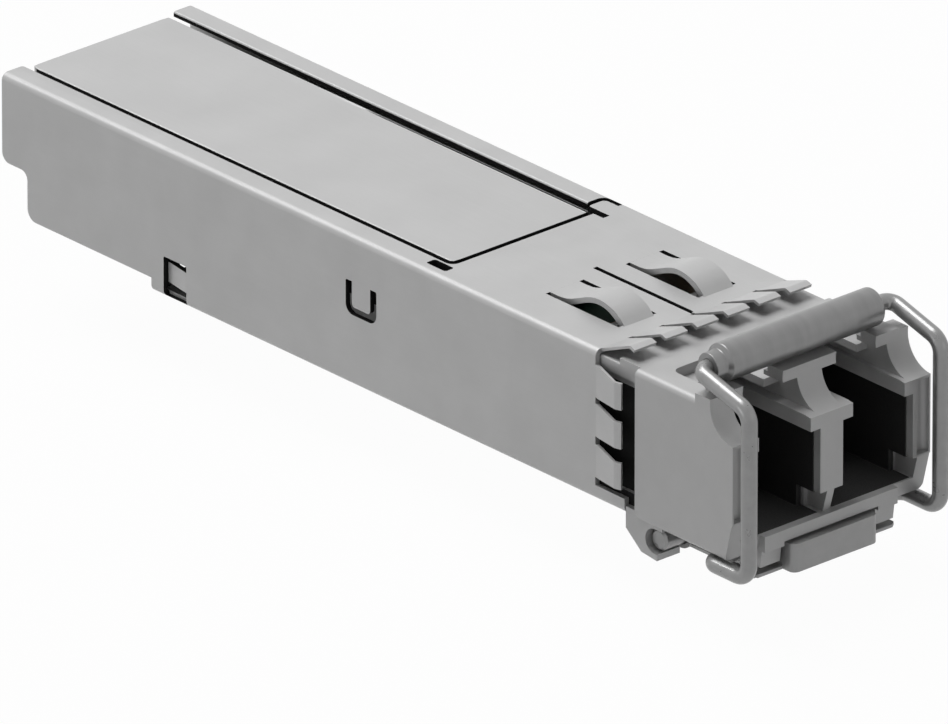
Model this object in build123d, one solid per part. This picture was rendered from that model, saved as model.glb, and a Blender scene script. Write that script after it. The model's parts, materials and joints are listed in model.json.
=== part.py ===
from build123d import *
import math
import os

# A small pluggable optical transceiver with two fibre ports, millimetres, +Z up.
# While it is drawn, f is the distance from the card edge at the rear towards the ports,
# x is to the right as seen from the ports and z is the height over the bottom plate.
# The finished part has its ports at -Y and its origin under the middle of its box.

# sheet metal shell
MODULE_W = 13.4
MODULE_H = 8.5
SHEET = 0.3
SHELL_CORNER_R = 0.4
SHELL_END = 46.5
CORNER_STRIP = 2.25
REAR_RELIEF_END = 11.83
REAR_RELIEF_Z = 0.8
REAR_STEP_F = 2.0
REAR_STEP_Z = 3.5
WINDOW_HALF_W = 5.25
WINDOW_END = 33.8
FIT_GAP = 0.05

# slots at the window's front corners
SLOT_HOLE_X0 = 5.37
SLOT_HOLE_X1 = 6.0
SLOT_HOLE_LEN = 1.5
HOOK_X1 = 6.5
HOOK_SLOT_W = 0.36
TONGUE_X0 = 5.0
TONGUE_LEN = 0.9
NOTCH_W = 0.45
NOTCH_LEN = 0.85

# openings in the side sheets
SIDE_WINDOW_F = 13.7
SIDE_WINDOW_LEN = 1.8
SIDE_WINDOW_Z0 = 0.1
SIDE_WINDOW_Z1 = 2.35
TAB_Z0 = 0.85
TAB_Z1 = 2.0
TAB_BEND = 0.26
U_SLOT_F = 28.05
U_SLOT_LEN = 2.4
U_SLOT_Z0 = 4.05
U_SLOT_H = 1.9
U_SLOT_W = 0.36

# spring fingers at the front end of the shell
FINGER_REACH = 2.4
TOP_FLARE = 0.75
SIDE_FLARE = 0.5
FINGER_T = 0.16
FINGER_PITCH = 2.15
FINGER_ROOT_W = 1.85
FINGER_TIP_W = 1.5
TOP_FINGERS = 6
SIDE_FINGER_Z = (2.25, 4.55, 6.75)
BOTTOM_FINGER_X = (2.5, 4.2)

# stamped bridges and the slit between them
BRIDGE_LEN = 5.6
BRIDGE_SETBACK = 1.3
BRIDGE_CREST = 3.75
BRIDGE_RISE = 0.86
BRIDGE_INNER_X = 1.45
BRIDGE_OUTER_X = 4.07
BRIDGE_SLOT_W = 0.3
BRIDGE_MIDDLE_X = 0.12
SLIT_W = 0.28
SLIT_LEN = 8.1

# stamped cover seen through the window
COVER_HALF_W = 4.95
COVER_TOP = 8.3
COVER_T = 0.5
COVER_WALL = 0.4
COVER_F0 = 0.2
COVER_GAP = 0.7
COVER_FLANGE_T = 0.3
COVER_FLANGE_F0 = 3.0
ABSORBER_T = 0.6
ABSORBER_HALF_W = 4.2
ABSORBER_F0 = 21.0
ABSORBER_LEN = 10.5

# cast tray under the circuit board
TRAY_F0 = 12.1
TRAY_FLOOR_T = 0.5
TRAY_WALL = 0.35
TRAY_TOP = 3.6
LEDGE_IN_X = 5.3
RIB_PITCH = 8.0
RIB_W = 0.6

# die-cast port housing
NOSE_HALF_W = 6.85
NOSE_LEN = 7.5
NOSE_Z0 = 0.05
NOSE_TOP = 8.5
NECK_SHOWN = 3.2
NECK_INSIDE = 2.5
NECK_TOP = 8.15
NECK_STEP = 1.7
NECK_HOLLOW = 0.22
BODY_EDGE_R = 0.35
PORT_X = 3.125
PORT_Z = 3.44
WEB_HALF = 0.78
PORT_OUT_X = 5.64
PORT_Z0 = 0.95
RAIL_Z0 = 5.93
RAIL_Z1 = 6.75
RAIL_IN_X = 1.46
RAIL_OUT_X = 5.05
POST_HALF = 0.85
UPPER_OUT_X = 5.35
UPPER_TOP = 7.5
UPPER_LEN = 6.8
HEAD_Z0 = 8.24
POCKET_HALF_W = 5.44
POCKET_BACK = 6.25
POCKET_FLOOR = 7.93
POCKET_LEN = 3.05
CAP_BACK = 1.7
CAP_LEN = 1.2
CAP_TOP = 8.9
CAP_IN_HALF = 1.84
CAP_SIDE_X0 = 4.6
CAP_SIDE_X1 = 6.15
SCOOP_R = 1.8
GROOVE_R = 0.42
GROOVE_X = 6.32
CHIN_Z = 2.25
CHIN_BACK = 0.62
WEB_FOOT_HALF = 0.25

# belly under the nose and the ears that hold the latch
BELLY_HALF_W = 4.6
BELLY_LEN = 4.8
BELLY_Z = -0.9
LUG_X0 = 3.4
LUG_REACH = 0.8
LUG_Z = -1.22
EAR_X0 = 5.06
EAR_X1 = 6.65
EAR_OVERHANG = 0.9
EAR_LEN = 2.4
EAR_DROP = 1.85
EAR_NOTCH_R = 0.7
CHANNEL_HALF_W = 1.35
CHANNEL_ROOF = 0.45
CHANNEL_MID_ROOF = 0.72
CHANNEL_REAR_ROOF = 1.15
CHANNEL_STEP = 1.0

# plastic liner of the two ports
LINER_WALL = 0.3
LINER_FLOOR = 0.2
LINER_BACK_T = 0.6
LINER_SETBACK = 0.5
LINER_RELIEF_LEN = 1.3
LINER_RELIEF_Z = 2.15
LINER_FIT = 0.02

# optical barrels
BARREL_R = 2.6
BARREL_CLEAR = 0.05
BARREL_INSIDE = 2.4
BARREL_NECK_R = 1.95
RIM_LEN = 0.4
GROOVE_LEN = 0.6
SNOUT_R = 1.45
SNOUT_LEN = 4.25
SLEEVE_R = 0.83
FERRULE_R = 0.625
LEAD_IN = 0.2
SLEEVE_SLIT = 0.12
RETAINER_T = 0.5
RETAINER_HALF_W = 5.85
HEADER_R = 2.75
HEADER_T = 1.2
LEAD_R = 0.16
LEAD_CIRCLE_R = 0.9
FLEX_T = 0.12
FLEX_HALF_W = 1.8

# circuit board
BOARD_Z0 = 2.25
BOARD_T = 1.0
BOARD_F0 = 3.2
BOARD_GAP = 2.6
BOARD_TONGUE_HALF_W = 4.6
BOARD_HALF_W = 5.9
TONGUE_END = 9.6
PAD_COUNT = 10
PAD_PITCH = 0.8
PAD_W = 0.5
PAD_T = 0.04
PAD_F0 = 3.6
PAD_LEN = 2.6
DRIVER_X = 2.9
DRIVER_F = 26.5
CONTROLLER_F = 18.5
MEMORY_X = -3.3
MEMORY_F = 22.6
PASSIVE_W = 0.8
PASSIVE_LEN = 1.0
PASSIVE_GAP = 0.3

# wire bail and its sleeve
WIRE_R = 0.44
BAIL_LEG_X = 6.64
BAIL_PIVOT_BACK = 2.0
BAIL_PIVOT_Z = -0.5
BAIL_PIN_X = 3.5
BAIL_REACH = 1.03
BAIL_TOP_Z = 8.95
BAR_BACK = 2.85
BAR_Z = 10.0
BAIL_BEND_R = 0.9
BAIL_PIVOT_BEND_R = 0.6
PIN_CLEAR = 0.05
GRIP_R = 1.04
GRIP_COLLAR_R = 0.78
GRIP_COLLAR_LEN = 0.7
GRIP_LEFT_X = -6.0
GRIP_RIGHT_X = 5.5
CAM_X0 = 4.65
CAM_X1 = 4.95
CAM_REACH = 0.78
CAM_R = 0.25

# latch lever
HINGE_BACK = 1.3
HINGE_Z = -0.8
PIN_R = 0.6
KNUCKLE_R = 0.9
KNUCKLE_HALF_W = 4.85
PLATE_HALF_W = 4.7
PLATE_Z0 = -1.5
PLATE_T = 0.2
PLATE_SETBACK = 0.45
WING_X1 = 4.95
WING_LEN = 1.7
BLOCK_HALF_W = 2.95
BLOCK_LEN = 1.6
BLOCK_PROUD = 0.4
BLOCK_TOP = 0.12
BLOCK_EDGE_R = 0.4
ARM_HALF_W = 1.1
ARM_T = 0.25
ARM_STEP = 3.2
ARM_STEP_DROP = 0.3
BOSS_W = 2.6
BOSS_SHOULDER_F = 45.0
BOSS_LEN = 2.6
BOSS_DEPTH = 0.45
SPRING_T = 0.12
SPRING_HALF_W = 0.9
SPRING_LEN = 2.0
SPRING_BACK = 1.0

# places along the module that follow from the sizes
NOSE_F0 = SHELL_END + NECK_SHOWN
NOSE_F1 = NOSE_F0 + NOSE_LEN
NECK_F0 = SHELL_END - NECK_INSIDE
BRIDGE_F1 = SHELL_END - BRIDGE_SETBACK
BRIDGE_F0 = BRIDGE_F1 - BRIDGE_LEN
COVER_F1 = WINDOW_END - COVER_GAP
PASSIVE_CLEAR = PASSIVE_LEN / 2 + PASSIVE_GAP
PASSIVE_PITCH = PASSIVE_LEN + PASSIVE_GAP
BEHIND_COVER_END = COVER_F1 - COVER_T - PASSIVE_CLEAR
BEFORE_COVER_END = COVER_F1 + PASSIVE_CLEAR
PASSIVE_PLACES = (
    (-3.9, 12.0),
    (-2.7, 12.0),
    (-1.5, 12.0),
    (2.7, 12.0),
    (3.9, 12.0),
    (-4.0, BEHIND_COVER_END - PASSIVE_PITCH),
    (4.0, BEHIND_COVER_END - PASSIVE_PITCH),
    (-4.0, BEHIND_COVER_END),
    (4.0, BEHIND_COVER_END),
    (0.0, BEFORE_COVER_END),
    (0.0, BEFORE_COVER_END + PASSIVE_PITCH),
)
CAP_F1 = NOSE_F1 - CAP_BACK
CAP_F0 = CAP_F1 - CAP_LEN
POCKET_F0 = NOSE_F1 - POCKET_BACK
POCKET_F1 = POCKET_F0 + POCKET_LEN
UPPER_F0 = NOSE_F1 - UPPER_LEN
BELLY_F0 = NOSE_F1 - BELLY_LEN
EAR_F0 = NOSE_F0 - EAR_OVERHANG
EAR_F1 = EAR_F0 + EAR_LEN
LINER_F0 = SHELL_END - 2 * FIT_GAP
LINER_BACK_F1 = LINER_F0 + LINER_BACK_T
LINER_F1 = NOSE_F1 - LINER_SETBACK
CHANNEL_STEP_F = SHELL_END + CHANNEL_STEP
BARREL_F0 = NECK_F0 - BARREL_INSIDE
GROOVE_F0 = NECK_F0 + RIM_LEN
GROOVE_F1 = GROOVE_F0 + GROOVE_LEN
RETAINER_F0 = (GROOVE_F0 + GROOVE_F1 - RETAINER_T) / 2
SNOUT_F0 = LINER_F0 - FIT_GAP
SNOUT_F1 = SNOUT_F0 + SNOUT_LEN
BOARD_F1 = BARREL_F0 - BOARD_GAP
BAIL_PIVOT_F = NOSE_F1 - BAIL_PIVOT_BACK
BAIL_FRONT_F = NOSE_F1 + BAIL_REACH
BAR_F = NOSE_F1 - BAR_BACK
HINGE_F = NOSE_F0 + HINGE_BACK
PLATE_F1 = NOSE_F1 - PLATE_SETBACK
BLOCK_F1 = NOSE_F1 + BLOCK_PROUD
BLOCK_F0 = BLOCK_F1 - BLOCK_LEN
ARM_STEP_F = HINGE_F - ARM_STEP
BOSS_TIP_F = BOSS_SHOULDER_F - BOSS_LEN
SPRING_F0 = HINGE_F - SPRING_BACK - SPRING_LEN

# planes for outlines in (f, z), (x, f) and (x, z)
SIDE = Plane(origin=(0, 0, 0), x_dir=(0, -1, 0), z_dir=(-1, 0, 0))
PLAN = Plane(origin=(0, 0, 0), x_dir=(1, 0, 0), z_dir=(0, 0, -1))
FRONT = Plane(origin=(0, 0, 0), x_dir=(1, 0, 0), z_dir=(0, -1, 0))

FRONT_MOST = BAIL_FRONT_F + WIRE_R
SHIFT = Pos(0, FRONT_MOST / 2, EAR_DROP)
INNER_HALF_W = MODULE_W / 2 - SHEET - FIT_GAP
INNER_Z0 = SHEET + FIT_GAP


def outline(points, radii=None):
    """Closed face from its corner points, each corner rounded to its radius."""
    if radii is None:
        return make_face(Polyline(*points, close=True))
    if not isinstance(radii, (list, tuple)):
        radii = [radii] * len(points)
    return make_face(FilletPolyline(*points, radius=radii, close=True))


def rectangle(u0, u1, v0, v1):
    """Corner points of an upright rectangle."""
    return [(u0, v0), (u1, v0), (u1, v1), (u0, v1)]


def across(points, x0, x1, radii=None):
    """Outline in (f, z), drawn through the module from x0 to x1."""
    face = Pos(x1, 0, 0) * (SIDE * outline(points, radii))
    return extrude(face, amount=x1 - x0, dir=(-1, 0, 0))


def upright(points, z0, z1, radii=None):
    """Outline in (x, f), drawn from z0 up to z1."""
    face = Pos(0, 0, z1) * (PLAN * outline(points, radii))
    return extrude(face, amount=z1 - z0, dir=(0, 0, -1))


def along(points, f0, f1, radii=None):
    """Outline in (x, z), drawn along the module from f0 to f1."""
    face = Pos(0, -f0, 0) * (FRONT * outline(points, radii))
    return extrude(face, amount=f1 - f0, dir=(0, -1, 0))


def block(x0, x1, f0, f1, z0, z1):
    """Plain block from its limits."""
    middle = Pos((x0 + x1) / 2, -(f0 + f1) / 2, (z0 + z1) / 2)
    return middle * Box(x1 - x0, f1 - f0, z1 - z0)


def rod_across(radius, x0, x1, f, z):
    """Round bar across the module."""
    return Pos((x0 + x1) / 2, -f, z) * Rot(0, 90, 0) * Cylinder(radius, x1 - x0)


def rod_along(radius, f0, f1, x, z):
    """Round bar along the module."""
    return Pos(x, -(f0 + f1) / 2, z) * Rot(90, 0, 0) * Cylinder(radius, f1 - f0)


def both_sides(piece):
    """The piece and its mirror image across the middle plane."""
    return [piece, mirror(piece, about=Plane.YZ)]


def single(piece):
    """The one solid that a piece is made of."""
    return piece.solids()[0]


# shell
def finger(flare):
    """One spring finger on a sheet whose outer face is z = 0, with its root at the shell's end."""
    root_w = FINGER_ROOT_W
    tip_w = FINGER_TIP_W
    root = SHELL_END - 0.2
    tip = SHELL_END + FINGER_REACH
    crest = tip - 0.4
    side = [
        (root, 0),
        (SHELL_END + 0.05, 0),
        (crest, flare),
        (tip, flare - 0.12),
        (tip - 0.06, flare - 0.12 - FINGER_T),
        (crest - 0.03, flare - FINGER_T),
        (SHELL_END + 0.1, -FINGER_T),
        (root, -FINGER_T),
    ]
    strip = across(side, -root_w / 2, root_w / 2, [0, 0, 0.3, 0, 0, 0.15, 0, 0])
    plan = [
        (-root_w / 2, root),
        (root_w / 2, root),
        (root_w / 2, SHELL_END + 0.25),
        (tip_w / 2, tip - 0.5),
        (tip_w / 2, tip),
        (-tip_w / 2, tip),
        (-tip_w / 2, tip - 0.5),
        (-root_w / 2, SHELL_END + 0.25),
    ]
    return strip & upright(plan, -1, 2)


def shell_fingers():
    fingers = []
    for i in range(TOP_FINGERS):
        x = (i - (TOP_FINGERS - 1) / 2) * FINGER_PITCH
        fingers.append(Pos(x, 0, MODULE_H) * finger(TOP_FLARE))
    for z in SIDE_FINGER_Z:
        fingers.append(Pos(MODULE_W / 2, 0, z) * Rot(0, 90, 0) * finger(SIDE_FLARE))
        fingers.append(Pos(-MODULE_W / 2, 0, z) * Rot(0, -90, 0) * finger(SIDE_FLARE))
    for x in BOTTOM_FINGER_X:
        fingers.append(Pos(x, 0, 0) * Rot(0, 180, 0) * finger(SIDE_FLARE))
        fingers.append(Pos(-x, 0, 0) * Rot(0, 180, 0) * finger(SIDE_FLARE))
    return fingers


def bridge():
    """The arched strip between two slots in the top sheet, on the right side."""
    top = MODULE_H
    under = MODULE_H - SHEET
    crest = BRIDGE_F0 + BRIDGE_CREST
    start = BRIDGE_F0 - 0.2
    lift = 0.05
    ways = [(1, 0), (1, 0.2), (1, 0), (1, -1.1)]
    upper = Spline(
        (start, top),
        (BRIDGE_F0 + 1.2, top + lift),
        (crest, top + BRIDGE_RISE),
        (BRIDGE_F1 + 0.15, top),
        tangents=ways,
    )
    lower = Spline(
        (start, under),
        (BRIDGE_F0 + 1.3, under + lift),
        (crest, under + BRIDGE_RISE),
        (BRIDGE_F1 - 0.12, under),
        tangents=ways,
    )
    ends = [Line((start, top), (start, under)), Line(upper @ 1, lower @ 1)]
    face = SIDE * make_face([upper, lower] + ends)
    x0 = BRIDGE_INNER_X + BRIDGE_SLOT_W
    x1 = BRIDGE_OUTER_X - BRIDGE_SLOT_W
    return extrude(Pos(x1, 0, 0) * face, amount=x1 - x0, dir=(-1, 0, 0))


def side_openings():
    """Window and U-shaped slot in the right side sheet."""
    x0 = MODULE_W / 2 - SHEET - 0.1
    x1 = MODULE_W / 2 + 0.1
    window_half = SIDE_WINDOW_LEN / 2
    window = across(
        rectangle(
            SIDE_WINDOW_F - window_half, SIDE_WINDOW_F + window_half, SIDE_WINDOW_Z0, SIDE_WINDOW_Z1
        ),
        x0,
        x1,
        0.1,
    )
    half = U_SLOT_LEN / 2
    top = U_SLOT_Z0 + U_SLOT_H
    outer = rectangle(U_SLOT_F - half, U_SLOT_F + half, U_SLOT_Z0, top)
    inner_half = half - U_SLOT_W
    inner = rectangle(U_SLOT_F - inner_half, U_SLOT_F + inner_half, U_SLOT_Z0 + U_SLOT_W, top + 1)
    u_slot = across(outer, x0, x1, [0.55, 0.55, 0.1, 0.1])
    return [window, u_slot - across(inner, x0 - 1, x1 + 1, [0.25, 0.25, 0, 0])]


def side_tab():
    """Tab bent inward in the side window, rooted at its front edge."""
    outer = MODULE_W / 2
    root = SIDE_WINDOW_F + SIDE_WINDOW_LEN / 2
    tip = root - 1.2
    plan = [
        (outer, root + 0.1),
        (outer, root - 0.1),
        (outer - TAB_BEND, tip),
        (outer - TAB_BEND - SHEET, tip),
        (outer - SHEET, root - 0.1),
        (outer - SHEET, root + 0.1),
    ]
    return upright(plan, TAB_Z0, TAB_Z1, [0, 0.2, 0, 0, 0.2, 0])


def top_openings():
    """Window with the slots at its front corners, and the slit and openings of the bridges."""
    edge = WINDOW_HALF_W
    tongue_f = WINDOW_END - TONGUE_LEN
    hook_f = tongue_f - HOOK_SLOT_W
    window = [
        (-edge, -1),
        (edge, -1),
        (edge, tongue_f),
        (TONGUE_X0, tongue_f),
        (TONGUE_X0, WINDOW_END),
        (-edge, WINDOW_END),
    ]
    hole_f = WINDOW_END - 0.45 - SLOT_HOLE_LEN / 2
    hole = rectangle(-SLOT_HOLE_X1, -SLOT_HOLE_X0, hole_f, hole_f + SLOT_HOLE_LEN)
    hook_end = WINDOW_END + 0.15
    hook = rectangle(edge - 0.05, HOOK_X1, hook_f, hook_end)
    tongue = rectangle(edge - 1, HOOK_X1 - HOOK_SLOT_W, tongue_f, hook_end + 1)
    notch = rectangle(TONGUE_X0 - NOTCH_W, TONGUE_X0, WINDOW_END - 0.1, WINDOW_END - 0.1 + NOTCH_LEN)
    z0 = MODULE_H - SHEET - 0.1
    z1 = MODULE_H + 0.1
    cuts = [
        upright(window, z0, z1, [0, 0, 0, 0.2, 0, 0.5]),
        upright(hole, z0, z1, 0.15),
        upright(hook, z0, z1, [0, 0.6, 0.15, 0.15]) - upright(tongue, z0 - 1, z1 + 1, [0, 0.3, 0, 0]),
        upright(notch, z0, z1),
    ]
    for opening in both_sides(block(BRIDGE_INNER_X, BRIDGE_OUTER_X, BRIDGE_F0, BRIDGE_F1, z0, z1)):
        cuts.append(Pos(BRIDGE_MIDDLE_X, 0, 0) * opening)
    slit = block(-SLIT_W / 2, SLIT_W / 2, SHELL_END - SLIT_LEN, SHELL_END + 1, z0, z1)
    cuts.append(Pos(BRIDGE_MIDDLE_X, 0, 0) * slit)
    return cuts


def tube(f0, f1):
    """Plain length of the shell's rectangular tube."""
    half = MODULE_W / 2
    inner = rectangle(-half + SHEET, half - SHEET, SHEET, MODULE_H - SHEET)
    outside = along(rectangle(-half, half, 0, MODULE_H), f0, f1, SHELL_CORNER_R)
    return outside - along(inner, f0 - 1, f1 + 1, SHELL_CORNER_R - SHEET)


def make_shell():
    half = MODULE_W / 2
    side = [
        (0, MODULE_H + 0.1),
        (0, REAR_STEP_Z),
        (REAR_STEP_F, REAR_STEP_Z),
        (REAR_STEP_F, REAR_RELIEF_Z),
        (REAR_RELIEF_END, REAR_RELIEF_Z),
        (REAR_RELIEF_END, -0.1),
        (SHELL_END, -0.1),
        (SHELL_END, MODULE_H + 0.1),
    ]
    kept = across(side, -half - 1, half + 1, [0, 0.55, 0.5, 0.65, 0, 0, 0, 0])
    sheet = tube(0, SHELL_END) & kept
    for cut in top_openings():
        sheet -= cut
    latch_hole_x = CHANNEL_HALF_W + 0.15
    sheet -= block(-latch_hole_x, latch_hole_x, BOSS_TIP_F - 0.4, SHELL_END + 1, -0.1, 0.4)
    for cut in side_openings():
        for opening in both_sides(cut):
            sheet -= opening
    for strip in both_sides(bridge()):
        sheet += Pos(BRIDGE_MIDDLE_X, 0, 0) * strip
    for strip in both_sides(side_tab()) + shell_fingers():
        sheet += strip
    corners = tube(SHELL_END - 0.1, SHELL_END + CORNER_STRIP)
    for strip in both_sides(block(half - 1.1, half + 1, SHELL_END - 1, NOSE_F0, -1, 0.85)):
        sheet += corners & strip
    return sheet


# cover
def make_top_cover():
    seat = TRAY_TOP
    flange = seat + COVER_FLANGE_T
    leg = COVER_HALF_W - COVER_WALL
    edge = INNER_HALF_W
    profile = [
        (-edge, seat),
        (-edge, flange),
        (-COVER_HALF_W, flange),
        (-COVER_HALF_W, COVER_TOP),
        (COVER_HALF_W, COVER_TOP),
        (COVER_HALF_W, flange),
        (edge, flange),
        (edge, seat),
        (leg, seat),
        (leg, COVER_TOP - COVER_T),
        (-leg, COVER_TOP - COVER_T),
        (-leg, seat),
    ]
    hat = along(profile, COVER_F0, COVER_F1, [0, 0, 0.1, 0.3, 0.3, 0.1, 0, 0, 0.1, 0.1, 0.1, 0.1])
    plateau = upright(
        rectangle(-COVER_HALF_W, COVER_HALF_W, COVER_F0, COVER_F1), 0, COVER_TOP + 1, 0.5
    )
    flanges = block(-edge, edge, COVER_FLANGE_F0, COVER_F1, 0, flange)
    cover = hat & (plateau + flanges)
    front_wall = block(-leg, leg, COVER_F1 - COVER_T, COVER_F1, seat, COVER_TOP - 0.2)
    return cover + (front_wall & plateau)


# tray
def make_base_tray():
    end = NECK_F0 - 2 * FIT_GAP
    half = INNER_HALF_W
    floor_top = INNER_Z0 + TRAY_FLOOR_T
    wall_in = half - TRAY_WALL
    profile = [
        (-half, INNER_Z0),
        (half, INNER_Z0),
        (half, TRAY_TOP),
        (wall_in, TRAY_TOP),
        (wall_in, BOARD_Z0),
        (LEDGE_IN_X, BOARD_Z0),
        (LEDGE_IN_X, floor_top),
        (-LEDGE_IN_X, floor_top),
        (-LEDGE_IN_X, BOARD_Z0),
        (-wall_in, BOARD_Z0),
        (-wall_in, TRAY_TOP),
        (-half, TRAY_TOP),
    ]
    tray = along(profile, TRAY_F0, end, [0.2, 0.2, 0, 0, 0, 0, 0.3, 0.3, 0, 0, 0, 0])
    arm_half = CHANNEL_HALF_W + 0.15
    tray -= block(-arm_half, arm_half, BOSS_TIP_F - 0.9, end + 1, 0, 1.5)
    notch_half = SIDE_WINDOW_LEN / 2 + 0.3
    for notch in both_sides(
        block(
            LEDGE_IN_X - 0.1,
            half + 0.1,
            SIDE_WINDOW_F - notch_half,
            SIDE_WINDOW_F + notch_half,
            0,
            SIDE_WINDOW_Z1 + 0.1,
        )
    ):
        tray -= notch
    for x in (-PORT_X, PORT_X):
        tray -= rod_along(HEADER_R + FIT_GAP, BARREL_F0 - HEADER_T - 0.5, end + 1, x, PORT_Z)
    for i in range(1, 4):
        rib_f = TRAY_F0 + i * RIB_PITCH - RIB_W
        tray += block(-LEDGE_IN_X, LEDGE_IN_X, rib_f, rib_f + RIB_W, floor_top - 0.1, floor_top + 0.4)
    return tray


# port housing
def port_void():
    """Opening for one plug on the right side, behind the front frame and through it."""
    front = NOSE_F1 + 1
    lower = block(WEB_HALF, PORT_OUT_X, LINER_F1, front, PORT_Z0, RAIL_Z0)
    seat = block(
        WEB_HALF - LINER_WALL,
        PORT_OUT_X + LINER_WALL,
        LINER_F0 - LINER_FIT,
        LINER_F1,
        PORT_Z0 - LINER_FLOOR,
        RAIL_Z0,
    )
    guide = block(RAIL_IN_X, RAIL_OUT_X, UPPER_F0, front, RAIL_Z0 - 0.1, RAIL_Z1 + 0.1)
    upper = block(POST_HALF, UPPER_OUT_X, UPPER_F0, front, RAIL_Z1, UPPER_TOP)
    head = block(POST_HALF, UPPER_OUT_X, POCKET_F1, front, UPPER_TOP - 0.1, HEAD_Z0)
    roof = block(CAP_IN_HALF, CAP_SIDE_X0, POCKET_F1 - 0.5, front, UPPER_TOP - 0.1, CAP_TOP + 1)
    return [lower, seat, guide, upper, head, roof]


def nose_caps():
    """Raised stops over the ports, in the middle and at the sides."""
    z0 = NOSE_TOP - 0.3
    caps = [block(-CAP_IN_HALF, CAP_IN_HALF, CAP_F0, CAP_F1, z0, CAP_TOP)]
    caps += both_sides(block(CAP_SIDE_X0, CAP_SIDE_X1, CAP_F0, CAP_F1, z0, CAP_TOP))
    caps += both_sides(block(CAP_SIDE_X1 - 0.1, NOSE_HALF_W, CAP_F0, CAP_F1, z0, CAP_TOP - 0.1))
    return caps


def ear():
    """Right ear for the lever pin, with its notch open to the front."""
    side = [
        (EAR_F0, NOSE_Z0 + 0.4),
        (EAR_F0, -0.75),
        (EAR_F0 + 1.2, 0.13 - EAR_DROP),
        (EAR_F1, -EAR_DROP),
        (EAR_F1, HINGE_Z - EAR_NOTCH_R),
        (HINGE_F, HINGE_Z - EAR_NOTCH_R),
        (HINGE_F, HINGE_Z + EAR_NOTCH_R),
        (EAR_F1 + 0.4, HINGE_Z + EAR_NOTCH_R),
        (EAR_F1 + 0.4, NOSE_Z0 + 0.4),
    ]
    plain = across(side, EAR_X0, EAR_X1)
    notch = rod_across(EAR_NOTCH_R, EAR_X0 - 1, EAR_X1 + 1, HINGE_F, HINGE_Z)
    return plain - notch


def belly():
    """Thicker bottom under the nose, with the two lugs that carry the bail's pins."""
    front = NOSE_F1 - 0.15
    side = [
        (BELLY_F0, PORT_Z0 - LINER_FLOOR),
        (BELLY_F0, BELLY_Z + 0.5),
        (BELLY_F0 + 0.5, BELLY_Z),
        (front - 0.2, BELLY_Z),
        (front, PORT_Z0 - LINER_FLOOR),
    ]
    piece = across(side, -BELLY_HALF_W, BELLY_HALF_W, [0, 0.2, 0.2, 0, 0])
    lug_f0 = BAIL_PIVOT_F - LUG_REACH
    lug_f1 = BAIL_PIVOT_F + LUG_REACH
    for lug in both_sides(block(LUG_X0, BELLY_HALF_W, lug_f0, lug_f1, LUG_Z, 0)):
        piece += lug
    for bore in both_sides(
        rod_across(WIRE_R + PIN_CLEAR, BAIL_PIN_X - 0.2, BELLY_HALF_W + 1, BAIL_PIVOT_F, BAIL_PIVOT_Z)
    ):
        piece -= bore
    return piece


def latch_spaces():
    """Channel and recess under the housing that the latch lever works in."""
    knuckle_half = KNUCKLE_HALF_W + 0.1
    slot_half = BLOCK_HALF_W + 0.3
    half = CHANNEL_HALF_W
    return [
        block(-half, half, CHANNEL_STEP_F, BELLY_F0, -3, CHANNEL_ROOF),
        block(-half, half, LINER_F0 - 0.1, CHANNEL_STEP_F, -3, CHANNEL_MID_ROOF),
        block(-half, half, NECK_F0 - 1, LINER_F0 - 0.1, -3, CHANNEL_REAR_ROOF),
        block(-slot_half, slot_half, BLOCK_F0 - 0.1, NOSE_F1 + 1, -3, BLOCK_TOP + 0.18),
        block(-knuckle_half, knuckle_half, NOSE_F0 + 0.2, NOSE_F0 + 2.4, -3, INNER_Z0),
    ]


def barrel_spaces():
    """Round seats of the optical barrels, the snout holes and the retainer's slot."""
    spaces = []
    for x in (-PORT_X, PORT_X):
        spaces.append(rod_along(BARREL_R + BARREL_CLEAR, NECK_F0 - 1, SNOUT_F0 + 0.03, x, PORT_Z))
        spaces.append(rod_along(SNOUT_R + BARREL_CLEAR, SNOUT_F0 - 1, LINER_BACK_F1, x, PORT_Z))
    spaces.append(
        block(
            -RETAINER_HALF_W - FIT_GAP,
            RETAINER_HALF_W + FIT_GAP,
            RETAINER_F0 - FIT_GAP,
            RETAINER_F0 + RETAINER_T + FIT_GAP,
            CHANNEL_REAR_ROOF + 0.4,
            NECK_TOP + 1,
        )
    )
    return spaces


def make_port_housing():
    half = NOSE_HALF_W
    nose = along(rectangle(-half, half, NOSE_Z0, NOSE_TOP), NOSE_F0, NOSE_F1, BODY_EDGE_R)
    neck_half = INNER_HALF_W
    neck = along(rectangle(-neck_half, neck_half, INNER_Z0, NECK_TOP), NECK_F0, NOSE_F0 + 0.1, 0.1)
    step_f = NOSE_F0 - NECK_STEP
    step = block(-neck_half, neck_half, step_f, NOSE_F0 + 0.1, NECK_TOP - 0.1, NOSE_TOP - 0.05)
    body = nose + neck + step
    for hollow in both_sides(
        block(neck_half - NECK_HOLLOW, half, SHELL_END + 0.1, NOSE_F0, CHANNEL_REAR_ROOF, NECK_TOP - 0.7)
    ):
        body -= hollow
    for cap in nose_caps():
        body += cap
    body += belly()
    for piece in both_sides(ear()):
        body += piece
    body -= upright(
        rectangle(-POCKET_HALF_W, POCKET_HALF_W, POCKET_F0, POCKET_F1), POCKET_FLOOR, 10, 0.5
    )
    for void in port_void():
        for opening in both_sides(void):
            body -= opening
    body -= rod_across(SCOOP_R, -half - 1, half + 1, NOSE_F1 + FIT_GAP, NOSE_TOP)
    body = chin(body)
    for space in latch_spaces() + barrel_spaces():
        body -= space
    return body


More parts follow.
